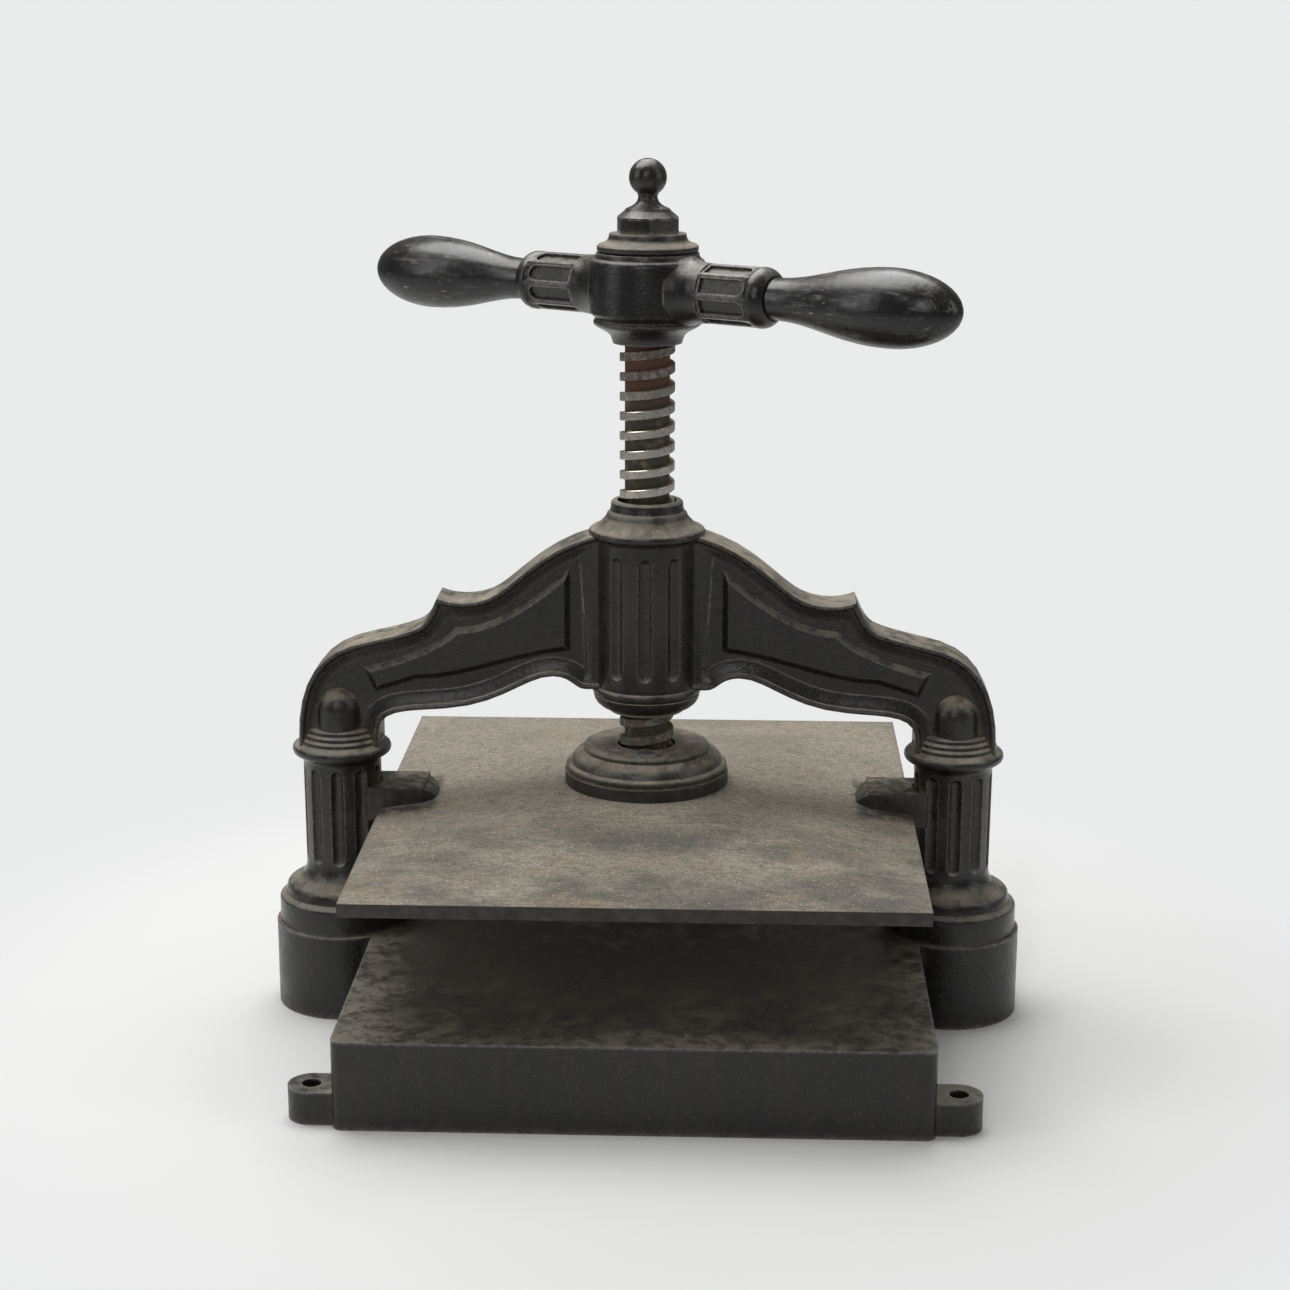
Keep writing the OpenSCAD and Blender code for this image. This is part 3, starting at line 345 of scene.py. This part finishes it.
def dusty_plate(name, edge):
    """The platen: black iron under dust that is wiped thin towards the front, with crumbs and rusty rims."""
    finish = bpy.context.scene.press_finishes
    side = Surface(name, edge)
    tree = side.tree
    place = add(tree, "SeparateXYZ", {0: side.at}).outputs
    smeared = side.noise(42, 5, 0.62, 9, (1.9, 1, 1))
    cloudy = side.noise(20, 5, 0.62, 5, (1.5, 1, 1))
    brushed = side.noise(2.6, 5, 0.7, stretch=(2.2, 1, 1))
    fine = side.noise(1.1, 3, 0.7)

    # The dust is wiped more and more towards the front, from a ragged line across the middle
    forward = math_of(tree, "ADD", place[1], product(tree, side.noise(60, 3, 0.5, 2), 80 * MM))
    front = ranged(tree, forward, 40 * MM, -60 * MM, 0.12, 1)
    thin = ranged(tree, side.noise(70, 3), 0.4, 0.65, 0.06, 0.24)
    lying = mixed(tree, thin, finish.dust, finish.soot)
    lying = mixed(tree, product(tree, ranged(tree, smeared, 0.38, 0.6), front, 0.72), lying, finish.soot)
    pale = product(tree, ranged(tree, cloudy, 0.5, 0.7), ranged(tree, front, 0, 1, 0.35, 0.7))
    lying = mixed(tree, pale, lying, finish.caked_dust)

    # Brush marks, grain, pale crumbs and dark specks
    lying = mixed(tree, ranged(tree, brushed, 0.42, 0.66, 0, 0.5), lying, finish.soot)
    lying = mixed(tree, ranged(tree, fine, 0.46, 0.62, 0, 0.6), lying, finish.soot)
    lying = mixed(tree, side.spots(1.4, 0.64, 0.75, 2), lying, finish.crumbs)
    lying = mixed(tree, side.spots(2.0, 0.68, 0.8, 7), lying, finish.warm_paint)

    # The guide ears, at the plate's sides and near its middle line, show dark iron between the dust
    wavy = product(tree, side.noise(9, 4, 0.6, 6), 12 * MM)
    aside = math_of(tree, "ADD", math_of(tree, "ABSOLUTE", place[0]), wavy)
    outward = ranged(tree, aside, 113 * MM, 119 * MM)
    ears = product(tree, outward, ranged(tree, math_of(tree, "ABSOLUTE", place[1]), 36 * MM, 24 * MM))
    covered = ranged(tree, side.noise(7, 5, 0.65, 1), 0.4, 0.7, 0.1, 0.75)
    lying = mixed(tree, ears, lying, mixed(tree, covered, finish.warm_paint, lying))

    # The rims are dark under smears, and rusty along their edges
    smears = ranged(tree, side.noise(9), 0.35, 0.75, 0.05, 0.6)
    rim = mixed(tree, smears, finish.warm_paint, finish.soot)
    colour = mixed(tree, ranged(tree, side.facing, 0.45, 0.9), rim, lying)
    rusty = product(tree, side.edges, ranged(tree, side.noise(5, 4, 0.65, 4), 0.5, 0.62, 0, 0.85))
    colour = mixed(tree, rusty, colour, finish.rust)
    rough = ranged(tree, side.facing, 0.2, 0.8, 0.5, 0.88)
    height = math_of(tree, "ADD", fine, product(tree, cloudy, 2.0))
    return side.shade(colour, rough, height, 0.3)


def worn_screw(name, edge):
    """The screw: crests that are worn bright but dull at both ends, rust under the hub, grease in grooves."""
    finish = bpy.context.scene.press_finishes
    sizes = bpy.context.scene.press_sizes
    side = Surface(name, edge)
    tree = side.tree
    place = add(tree, "SeparateXYZ", {0: side.at}).outputs
    flat = add(tree, "CombineXYZ", {0: place[0], 1: place[1]}).outputs[0]
    radius = add(tree, "VectorMath", {0: flat}, operation="LENGTH").outputs["Value"]
    crest = ranged(tree, radius, sizes.screw_radius - 0.7 * MM, sizes.screw_radius - 0.2 * MM)

    # No nut rubs the crests bright at the top and bottom. These are the heights between which they dull
    ragged = math_of(tree, "ADD", place[2], product(tree, side.noise(12), 14 * MM))
    high = ranged(tree, ragged, 318 * MM, 342 * MM)
    low = ranged(tree, place[2], 260 * MM, 240 * MM)
    worn_away = math_of(tree, "MAXIMUM", high, low)

    # Tool marks run round the screw. Real ones are finer, and these are coarse enough to show
    turned = side.noise(0.5, 3, 0.7, stretch=(9, 9, 1))

    # Grooves and flanks hold grease, dust and rust
    greasy = ranged(tree, side.noise(6, 4), 0.5, 0.8, 0, 0.6)
    groove = mixed(tree, greasy, finish.groove, finish.caked_dust)
    groove = mixed(tree, product(tree, high, 0.85), groove, finish.rust)
    flank = mixed(tree, ranged(tree, side.facing, 0.4, 0.9, 0, 0.6), groove, finish.caked_dust)

    # Crests are bright with stains, or dull and rusty
    bright = mixed(tree, ranged(tree, turned, 0.4, 0.75, 0, 0.6), finish.bright_steel, finish.worn)
    stain = ranged(tree, side.noise(2.6, 5, 0.75, 6), 0.57, 0.64, 0, 0.75)
    bright = mixed(tree, stain, bright, finish.groove)
    dull = mixed(tree, ranged(tree, side.noise(4, 5, 0.7), 0.35, 0.65), finish.warm_paint, finish.worn)
    dull = mixed(tree, ranged(tree, side.noise(6, 4, 0.6, 8), 0.45, 0.6, 0, 0.7), dull, finish.rust)
    top = mixed(tree, product(tree, worn_away, 0.9), bright, dull)
    colour = mixed(tree, crest, flank, top)

    # Only clean crests shine as metal
    still_worn = math_of(tree, "SUBTRACT", 1.0, worn_away)
    clean = product(tree, crest, still_worn, math_of(tree, "SUBTRACT", 1.0, stain))
    rough = ranged(tree, clean, 0, 1, 0.6, 0.25)
    metallic = ranged(tree, clean, 0, 1, 0.2, 1.0)
    height = math_of(tree, "ADD", product(tree, turned, 0.5), side.noise(3, 3))
    return side.shade(colour, rough, height, 0.06, metallic=metallic, turned=0.8)


def grip_enamel(name, edge):
    """Black enamel that hands have dulled: brushed and scuffed along the grip, chipped to a dull brown."""
    finish = bpy.context.scene.press_finishes
    side = Surface(name, edge)
    tree = side.tree
    side.at = add(tree, "Mapping", {"Vector": side.at, "Rotation": (0, 0, ARM_TURN)}).outputs[0]
    rubs = side.noise(2.5, 5, 0.7, stretch=(10, 1, 1))
    cloudy = side.noise(14, 5, 0.65, stretch=(2, 1, 1))
    scuffs = product(tree, ranged(tree, rubs, 0.52, 0.66), ranged(tree, cloudy, 0.4, 0.62))
    colour = mixed(tree, product(tree, scuffs, 0.5), finish.enamel, finish.worn)
    chips = side.spots(2.5, 0.64, 0.75, 4, (4, 1, 1))
    colour = mixed(tree, product(tree, chips, ranged(tree, cloudy, 0.45, 0.6)), colour, finish.caked_dust)
    colour = mixed(tree, side.spots(2.2, 0.72, 0.5, 8), colour, finish.rust)
    haze = product(tree, side.upward, ranged(tree, cloudy, 0.4, 0.7, 0.02, 0.12))
    colour = mixed(tree, haze, colour, finish.dust)
    brushed = ranged(tree, rubs, 0.3, 0.7, -0.05, 0.07)
    brushed = math_of(tree, "ADD", brushed, ranged(tree, cloudy, 0.35, 0.7, -0.04, 0.08))
    rough = math_of(tree, "ADD", ranged(tree, scuffs, 0, 1, 0.29, 0.5), brushed)
    height = math_of(tree, "ADD", side.noise(9, 3), product(tree, rubs, 0.35))
    return side.shade(colour, rough, height, 0.35)


def deselect():
    if bpy.context.object and bpy.context.object.mode != "OBJECT":
        bpy.ops.object.mode_set(mode="OBJECT")
    bpy.ops.object.select_all(action="DESELECT")


def pick(*pieces):
    """Selects these pieces alone, and makes the first one active."""
    deselect()
    for piece in pieces:
        piece.select_set(True)
    bpy.context.view_layer.objects.active = pieces[0]


def smooth(piece):
    pick(piece)
    bpy.ops.object.shade_smooth_by_angle(angle=math.radians(SMOOTH_ANGLE))


def finish_piece(piece, material, node):
    """Gives a piece its material, puts it on the solid's body and hides the solid, so that it stands in its
    place.
    """
    piece.data.materials.clear()
    piece.data.materials.append(material)
    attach(piece, frame["nodes"][node]["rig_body"])
    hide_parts(node)


def dress_copy(node, name, material):
    """Puts in a solid's place a copy with its triangles joined, so that its curves shade smooth."""
    piece = bpy.data.objects.new(name, frame["nodes"][node].data.copy())
    bpy.context.scene.collection.objects.link(piece)
    pick(piece)
    bpy.ops.mesh.customdata_custom_splitnormals_clear()
    bpy.ops.object.mode_set(mode="EDIT")
    bpy.ops.mesh.select_all(action="SELECT")
    bpy.ops.mesh.remove_doubles(threshold=COPY_WELD)
    bpy.ops.object.mode_set(mode="OBJECT")
    smooth(piece)
    finish_piece(piece, material, node)


def dress_solid(material, *nodes):
    """Gives a better material to solids that stay as they are."""
    for node in nodes:
        slots = frame["nodes"][node].data.materials
        slots.clear()
        slots.append(material)


def draw_profile(points):
    """Draws a chain of edges in the XZ plane and stays in edit mode. Each point is its distance from the
    Z axis and its height."""
    deselect()
    bpy.ops.mesh.primitive_plane_add(size=MM)
    piece = bpy.context.object
    bpy.ops.object.mode_set(mode="EDIT")
    bpy.ops.mesh.select_all(action="SELECT")
    bpy.ops.mesh.merge(type="CENTER")
    bpy.ops.transform.translate(value=(points[0][0], 0, points[0][1]))
    for here, there in zip(points, points[1:]):
        step = (there[0] - here[0], 0, there[1] - here[1])
        bpy.ops.mesh.extrude_region_move(TRANSFORM_OT_translate={"value": step})
    bpy.ops.mesh.select_all(action="SELECT")
    return piece


def close_mesh():
    """In edit mode, joins doubled points, fills the holes and turns all faces outward."""
    bpy.ops.mesh.select_all(action="SELECT")
    bpy.ops.mesh.remove_doubles(threshold=WELD)
    bpy.ops.mesh.fill_holes(sides=0)
    bpy.ops.mesh.select_all(action="SELECT")
    bpy.ops.mesh.normals_make_consistent(inside=False)
    bpy.ops.object.mode_set(mode="OBJECT")


class PRESS_OT_bed(bpy.types.Operator):
    """Dress the bed casting: black paint, dust on its face and lugs, rust at small chips"""

    bl_idname = "press.bed"
    bl_label = "Bed"

    def execute(self, context):
        # Japan brushed over sand-cast iron: a satin black, with the mould's grain and thin dust on it
        iron = old_iron(
            "cast iron, brushed black japan",
            context.scene.press_sizes.cast_edge,
            up_dust=0.5,
            film=0.03,
            gloss=0.3,
            relief=0.5,
        )
        dress_copy("base", "bed_casting", iron)
        return {"FINISHED"}


class PRESS_OT_arch(bpy.types.Operator):
    """Dress the arch casting with its columns, mouldings and boss"""

    bl_idname = "press.arch"
    bl_label = "Arch"

    def execute(self, context):
        # The same paint, laid on smoother: columns and limbs shine, and dust lies thick on the ledges
        iron = old_iron(
            "cast iron, satin black japan",
            context.scene.press_sizes.cast_edge,
            up_dust=0.9,
            hollow_dust=0.9,
            film=0.03,
            gloss=0.2,
            relief=0.45,
        )
        dress_copy("arch", "arch_casting", iron)
        return {"FINISHED"}


class PRESS_OT_platen(bpy.types.Operator):
    """Dress the platen, its cap and the cap's screws, deep in dust"""

    bl_idname = "press.platen"
    bl_label = "Platen and cap"

    def execute(self, context):
        sizes = context.scene.press_sizes
        dress_copy("platen", "platen_casting", dusty_plate("cast iron under deep dust", sizes.cast_edge))
        # Turned and painted iron: rings whose edges are rubbed grey and carry a painted highlight, under a
        # veil of dust
        cap = old_iron("turned iron, dusty japan", sizes.turned_edge, film=0.16, gloss=0.27, wear_and_highlight=1.0)
        dress_copy("swivel_cap", "swivel_cap_turned", cap)
        # Rust has pitted the steel: rough, brown and matt
        screw = old_iron(
            "rusted steel screw heads",
            sizes.turned_edge,
            up_dust=0.12,
            hollow_dust=0.9,
            rust=0.9,
            gloss=0.5,
            relief=1.6,
        )
        for end in ("front", "rear"):
            dress_copy("cap_screw_" + end, "cap_screw_head_" + end, screw)
        return {"FINISHED"}


class PRESS_OT_screw(bpy.types.Operator):
    """Turn the square-thread screw with its collar, squared top and stud"""

    bl_idname = "press.screw"
    bl_label = "Screw"

    def execute(self, context):
        sizes = context.scene.press_sizes
        low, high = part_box("lead_screw")
        shaft = self.shaft(sizes, low[2], high[2])
        thread = self.thread(sizes)
        deselect()
        middle = sizes.seat + sizes.square_height / 2 - OVERLAP
        bpy.ops.mesh.primitive_cube_add(size=1, location=(0, 0, middle))
        square = context.object
        square.scale = (sizes.square_width, sizes.square_width, sizes.square_height)
        bpy.ops.object.transform_apply(location=True, rotation=True, scale=True)
        pick(shaft, thread, square)
        bpy.ops.object.join()
        shaft.name = "screw_turned"
        smooth(shaft)
        finish_piece(shaft, worn_screw("turned steel, worn and rusty", sizes.worn_edge), "lead_screw")
        return {"FINISHED"}

    def shaft(self, sizes, foot, top):
        """The core with its collar and stud, spun from half its outline."""
        collar_top = foot + sizes.collar_height
        outline = [
            (0, foot),
            (sizes.collar_radius, foot),
            (sizes.collar_radius, collar_top),
            (sizes.core_radius, collar_top),
            (sizes.core_radius, sizes.neck),
            (sizes.screw_radius, sizes.neck),
            (sizes.screw_radius, sizes.seat),
            (sizes.stud_radius, sizes.seat),
            (sizes.stud_radius, top),
            (0, top),
        ]
        shaft = draw_profile(outline)
        bpy.ops.mesh.spin(steps=sizes.thread_steps, angle=math.tau, center=(0, 0, 0), axis=(0, 0, 1))
        close_mesh()
        return shaft

    def thread(self, sizes):
        """The ridge of the thread: its section, wound up the core from its foot to its head."""
        root, crest = sizes.core_radius - OVERLAP, sizes.screw_radius
        edge, width, foot = sizes.worn_edge, sizes.crest_width, sizes.thread_foot
        outline = [
            (root, foot),
            (crest - edge, foot),
            (crest, foot + edge),
            (crest, foot + width - edge),
            (crest - edge, foot + width),
            (root, foot + width),
            (root, foot),
        ]
        thread = draw_profile(outline)
        bpy.ops.mesh.remove_doubles(threshold=WELD)
        bpy.ops.object.mode_set(mode="OBJECT")
        turns = (sizes.thread_head - width - foot) / sizes.pitch
        bpy.ops.object.modifier_add(type="SCREW")
        winding = thread.modifiers[-1]
        winding.axis = "Z"
        winding.angle = turns * math.tau
        winding.screw_offset = turns * sizes.pitch
        winding.steps = winding.render_steps = round(turns * sizes.thread_steps)
        bpy.ops.object.modifier_apply(modifier=winding.name)
        bpy.ops.object.mode_set(mode="EDIT")
        close_mesh()
        return thread


class PRESS_OT_handle(bpy.types.Operator):
    """Dress the hub and its arms, the grips, the moulded washer and the finial"""

    bl_idname = "press.handle"
    bl_label = "Handle"

    def execute(self, context):
        edge = context.scene.press_sizes.turned_edge
        # Hands keep the hub and its arms clean: a deep, shiny black, with dust only on top
        iron = old_iron(
            "turned iron, glossy black japan",
            edge,
            up_dust=0.45,
            hollow_dust=0.2,
            reach=3,
            film=0.0,
            gloss=0.2,
            wear_and_highlight=0.9,
        )
        dress_copy("handle_hub", "hub_and_arms", iron)
        # No hand reaches the washer: dust fills its mouldings, and only their edges are rubbed grey, with a
        # painted highlight
        dusty = old_iron(
            "turned iron, dusty black japan",
            edge,
            up_dust=0.75,
            hollow_dust=0.95,
            reach=5,
            film=0.08,
            gloss=0.3,
            wear_and_highlight=1.0,
        )
        dress_copy("hub_washer", "washer_moulded", dusty)
        # The ball shines where it is handled, and dust has caked in the neck under it
        handled = old_iron(
            "turned iron, handled black japan",
            edge,
            up_dust=0.3,
            hollow_dust=1.0,
            reach=5,
            film=0.04,
            gloss=0.2,
            wear_and_highlight=1.0,
        )
        dress_copy("finial_nut", "finial_turned", handled)
        enamel = grip_enamel("black enamel, hand-worn", edge)
        for side in ("left", "right"):
            dress_copy("grip_" + side, "grip_turned_" + side, enamel)
        return {"FINISHED"}


class PRESS_OT_fixings(bpy.types.Operator):
    """Dress the bolts, washers, nut, disc and tangs that hold the press together"""

    bl_idname = "press.fixings"
    bl_label = "Fixings"

    def execute(self, context):
        edge = context.scene.press_sizes.turned_edge
        finish = context.scene.press_finishes
        # Bare steel that has dulled to a brownish grey, with rust in spots
        steel = old_iron(
            "dull bolt steel",
            edge,
            up_dust=0.3,
            hollow_dust=0.5,
            gloss=0.5,
            rust=0.6,
            paint=finish.bolt_steel,
        )
        # Turned bronze under oil: a smooth, dark gold brown
        bronze = old_iron(
            "oiled turned bronze",
            edge,
            up_dust=0.2,
            hollow_dust=0.5,
            rust=0,
            paint=finish.bronze,
            relief=0.1,
        )
        dress_solid(steel, "column_bolt_left", "column_bolt_right", "bolt_washer_left", "bolt_washer_right")
        dress_solid(steel, "tang_left", "tang_right")
        dress_solid(bronze, "screw_nut", "thrust_disc")
        return {"FINISHED"}


class PRESS_OT_stage(bpy.types.Operator):
    """Lay the pale floor, light it softly and set the camera at the photograph's viewing angle"""

    bl_idname = "press.stage"
    bl_label = "Stage"

    def execute(self, context):
        self.camera(context)
        self.floor(context)
        self.lamps(context)
        self.world(context)
        return {"FINISHED"}

    def camera(self, context):
        level = math.cos(CAMERA_ELEVATION)
        back = Vector(
            (math.sin(CAMERA_AZIMUTH) * level, -math.cos(CAMERA_AZIMUTH) * level, math.sin(CAMERA_ELEVATION))
        )
        right = (-back).cross(Vector((0, 0, 1))).normalized()
        up = right.cross(-back)
        tilted_right = math.cos(CAMERA_ROLL) * right + math.sin(CAMERA_ROLL) * up
        tilted_up = math.cos(CAMERA_ROLL) * up - math.sin(CAMERA_ROLL) * right
        place = Matrix((tilted_right, tilted_up, back)).transposed().to_4x4()
        place.translation = CAMERA_AIM + back * CAMERA_DISTANCE
        deselect()
        bpy.ops.object.camera_add()
        camera = context.object
        camera.name = "camera"
        camera.matrix_world = place
        camera.data.sensor_width = SENSOR_WIDTH
        camera.data.lens = FOCAL_PIXELS / PHOTO_PIXELS * SENSOR_WIDTH
        camera.data.clip_end = CAMERA_SIGHT
        context.scene.camera = camera

    def floor(self, context):
        """Pale paper that takes the press's shadow and is darker than the backdrop, painted shade around the
        press.
        Further off it turns into an even backdrop.
        """
        stage = context.scene.press_stage
        material, tree = blank_material("backdrop paper")
        at = add(tree, "TexCoord").outputs["Object"]
        away = add(tree, "VectorMath", {0: at}, operation="LENGTH").outputs["Value"]
        seen = add(tree, "LightPath").outputs["Is Camera Ray"]
        paper = add(tree, "BsdfDiffuse", {"Color": stage.paper})
        glow = add(tree, "Emission", {"Color": stage.backdrop, "Strength": 1.0})
        blend = product(tree, ranged(tree, away, SHADED_PAPER_END, BACKDROP_START), seen)
        shader = add(tree, "MixShader", {0: blend, 1: paper.outputs[0], 2: glow.outputs[0]})
        add(tree, "OutputMaterial", {"Surface": shader.outputs[0]})
        deselect()
        bpy.ops.mesh.primitive_plane_add(size=FLOOR_SIZE, location=(0, 0, 0))
        floor = context.object
        floor.name = "floor"
        floor.data.materials.append(material)

    def lamps(self, context):
        """A row gives a lamp's name, its place, its aim, its width and height, and its power."""
        stage = context.scene.press_stage
        rows = (
            ("overhead", (-0.25, 0.35, 1.5), (0, 0, 0.2), (1.5, 1.0), stage.top_power),
            ("front", (-0.3, -1.9, 1.2), (0, 0, 0.25), (0.18, 0.9), stage.front_power),
            ("left", (-1.5, -0.5, 0.9), (0, 0, 0.25), (0.22, 1.3), stage.side_power),
            ("right", (1.5, -0.4, 0.9), (0, 0, 0.25), (0.22, 1.3), stage.side_power * RIGHT_SHARE),
        )
        for name, place, aim, size, power in rows:
            deselect()
            bpy.ops.object.light_add(type="AREA", location=place)
            lamp = context.object
            lamp.name = "lamp_" + name
            lamp.rotation_euler = (Vector(aim) - Vector(place)).to_track_quat("-Z", "Y").to_euler()
            lamp.data.shape = "RECTANGLE"
            lamp.data.size, lamp.data.size_y = size
            lamp.data.energy = power

    def world(self, context):
        """Even room light on the press, with the pale backdrop where the camera looks past it."""
        stage = context.scene.press_stage
        world = bpy.data.worlds.new("studio")
        world.use_nodes = True
        tree = world.node_tree
        tree.nodes.clear()
        seen = add(tree, "LightPath").outputs["Is Camera Ray"]
        room = add(tree, "Background", {"Color": (1, 1, 1), "Strength": stage.room_level})
        paper = add(tree, "Background", {"Color": stage.backdrop, "Strength": 1.0})
        shader = add(tree, "MixShader", {0: seen, 1: room.outputs[0], 2: paper.outputs[0]})
        add(tree, "OutputWorld", {"Surface": shader.outputs[0]})
        context.scene.world = world
        context.scene.view_settings.view_transform = "Standard"


class PRESS_PT_sidebar(bpy.types.Panel):
    """Sizes, finishes and building steps of the press"""

    bl_idname = "PRESS_PT_sidebar"
    bl_label = "Copying press"
    bl_space_type = "VIEW_3D"
    bl_region_type = "UI"
    bl_category = "Press"

    def draw(self, context):
        for group in (context.scene.press_sizes, context.scene.press_finishes, context.scene.press_stage):
            box = self.layout.box()
            for key in group.__annotations__:
                box.prop(group, key)
        for step in STEPS:
            self.layout.operator(step.bl_idname)


GROUPS = (PressSizes, PressFinishes, PressStage)
STEPS = (
    PRESS_OT_stage,
    PRESS_OT_bed,
    PRESS_OT_arch,
    PRESS_OT_platen,
    PRESS_OT_screw,
    PRESS_OT_handle,
    PRESS_OT_fixings,
)


def register():
    for item in (*GROUPS, *STEPS, PRESS_PT_sidebar):
        bpy.utils.register_class(item)
    bpy.types.Scene.press_sizes = PointerProperty(type=PressSizes)
    bpy.types.Scene.press_finishes = PointerProperty(type=PressFinishes)
    bpy.types.Scene.press_stage = PointerProperty(type=PressStage)


def unregister():
    del bpy.types.Scene.press_stage
    del bpy.types.Scene.press_finishes
    del bpy.types.Scene.press_sizes
    for item in reversed((*GROUPS, *STEPS, PRESS_PT_sidebar)):
        bpy.utils.unregister_class(item)


def main():
    register()
    bpy.ops.press.stage()
    bpy.ops.press.bed()
    bpy.ops.press.arch()
    bpy.ops.press.platen()
    bpy.ops.press.screw()
    bpy.ops.press.handle()
    bpy.ops.press.fixings()


if __name__ == "__main__":
    main()
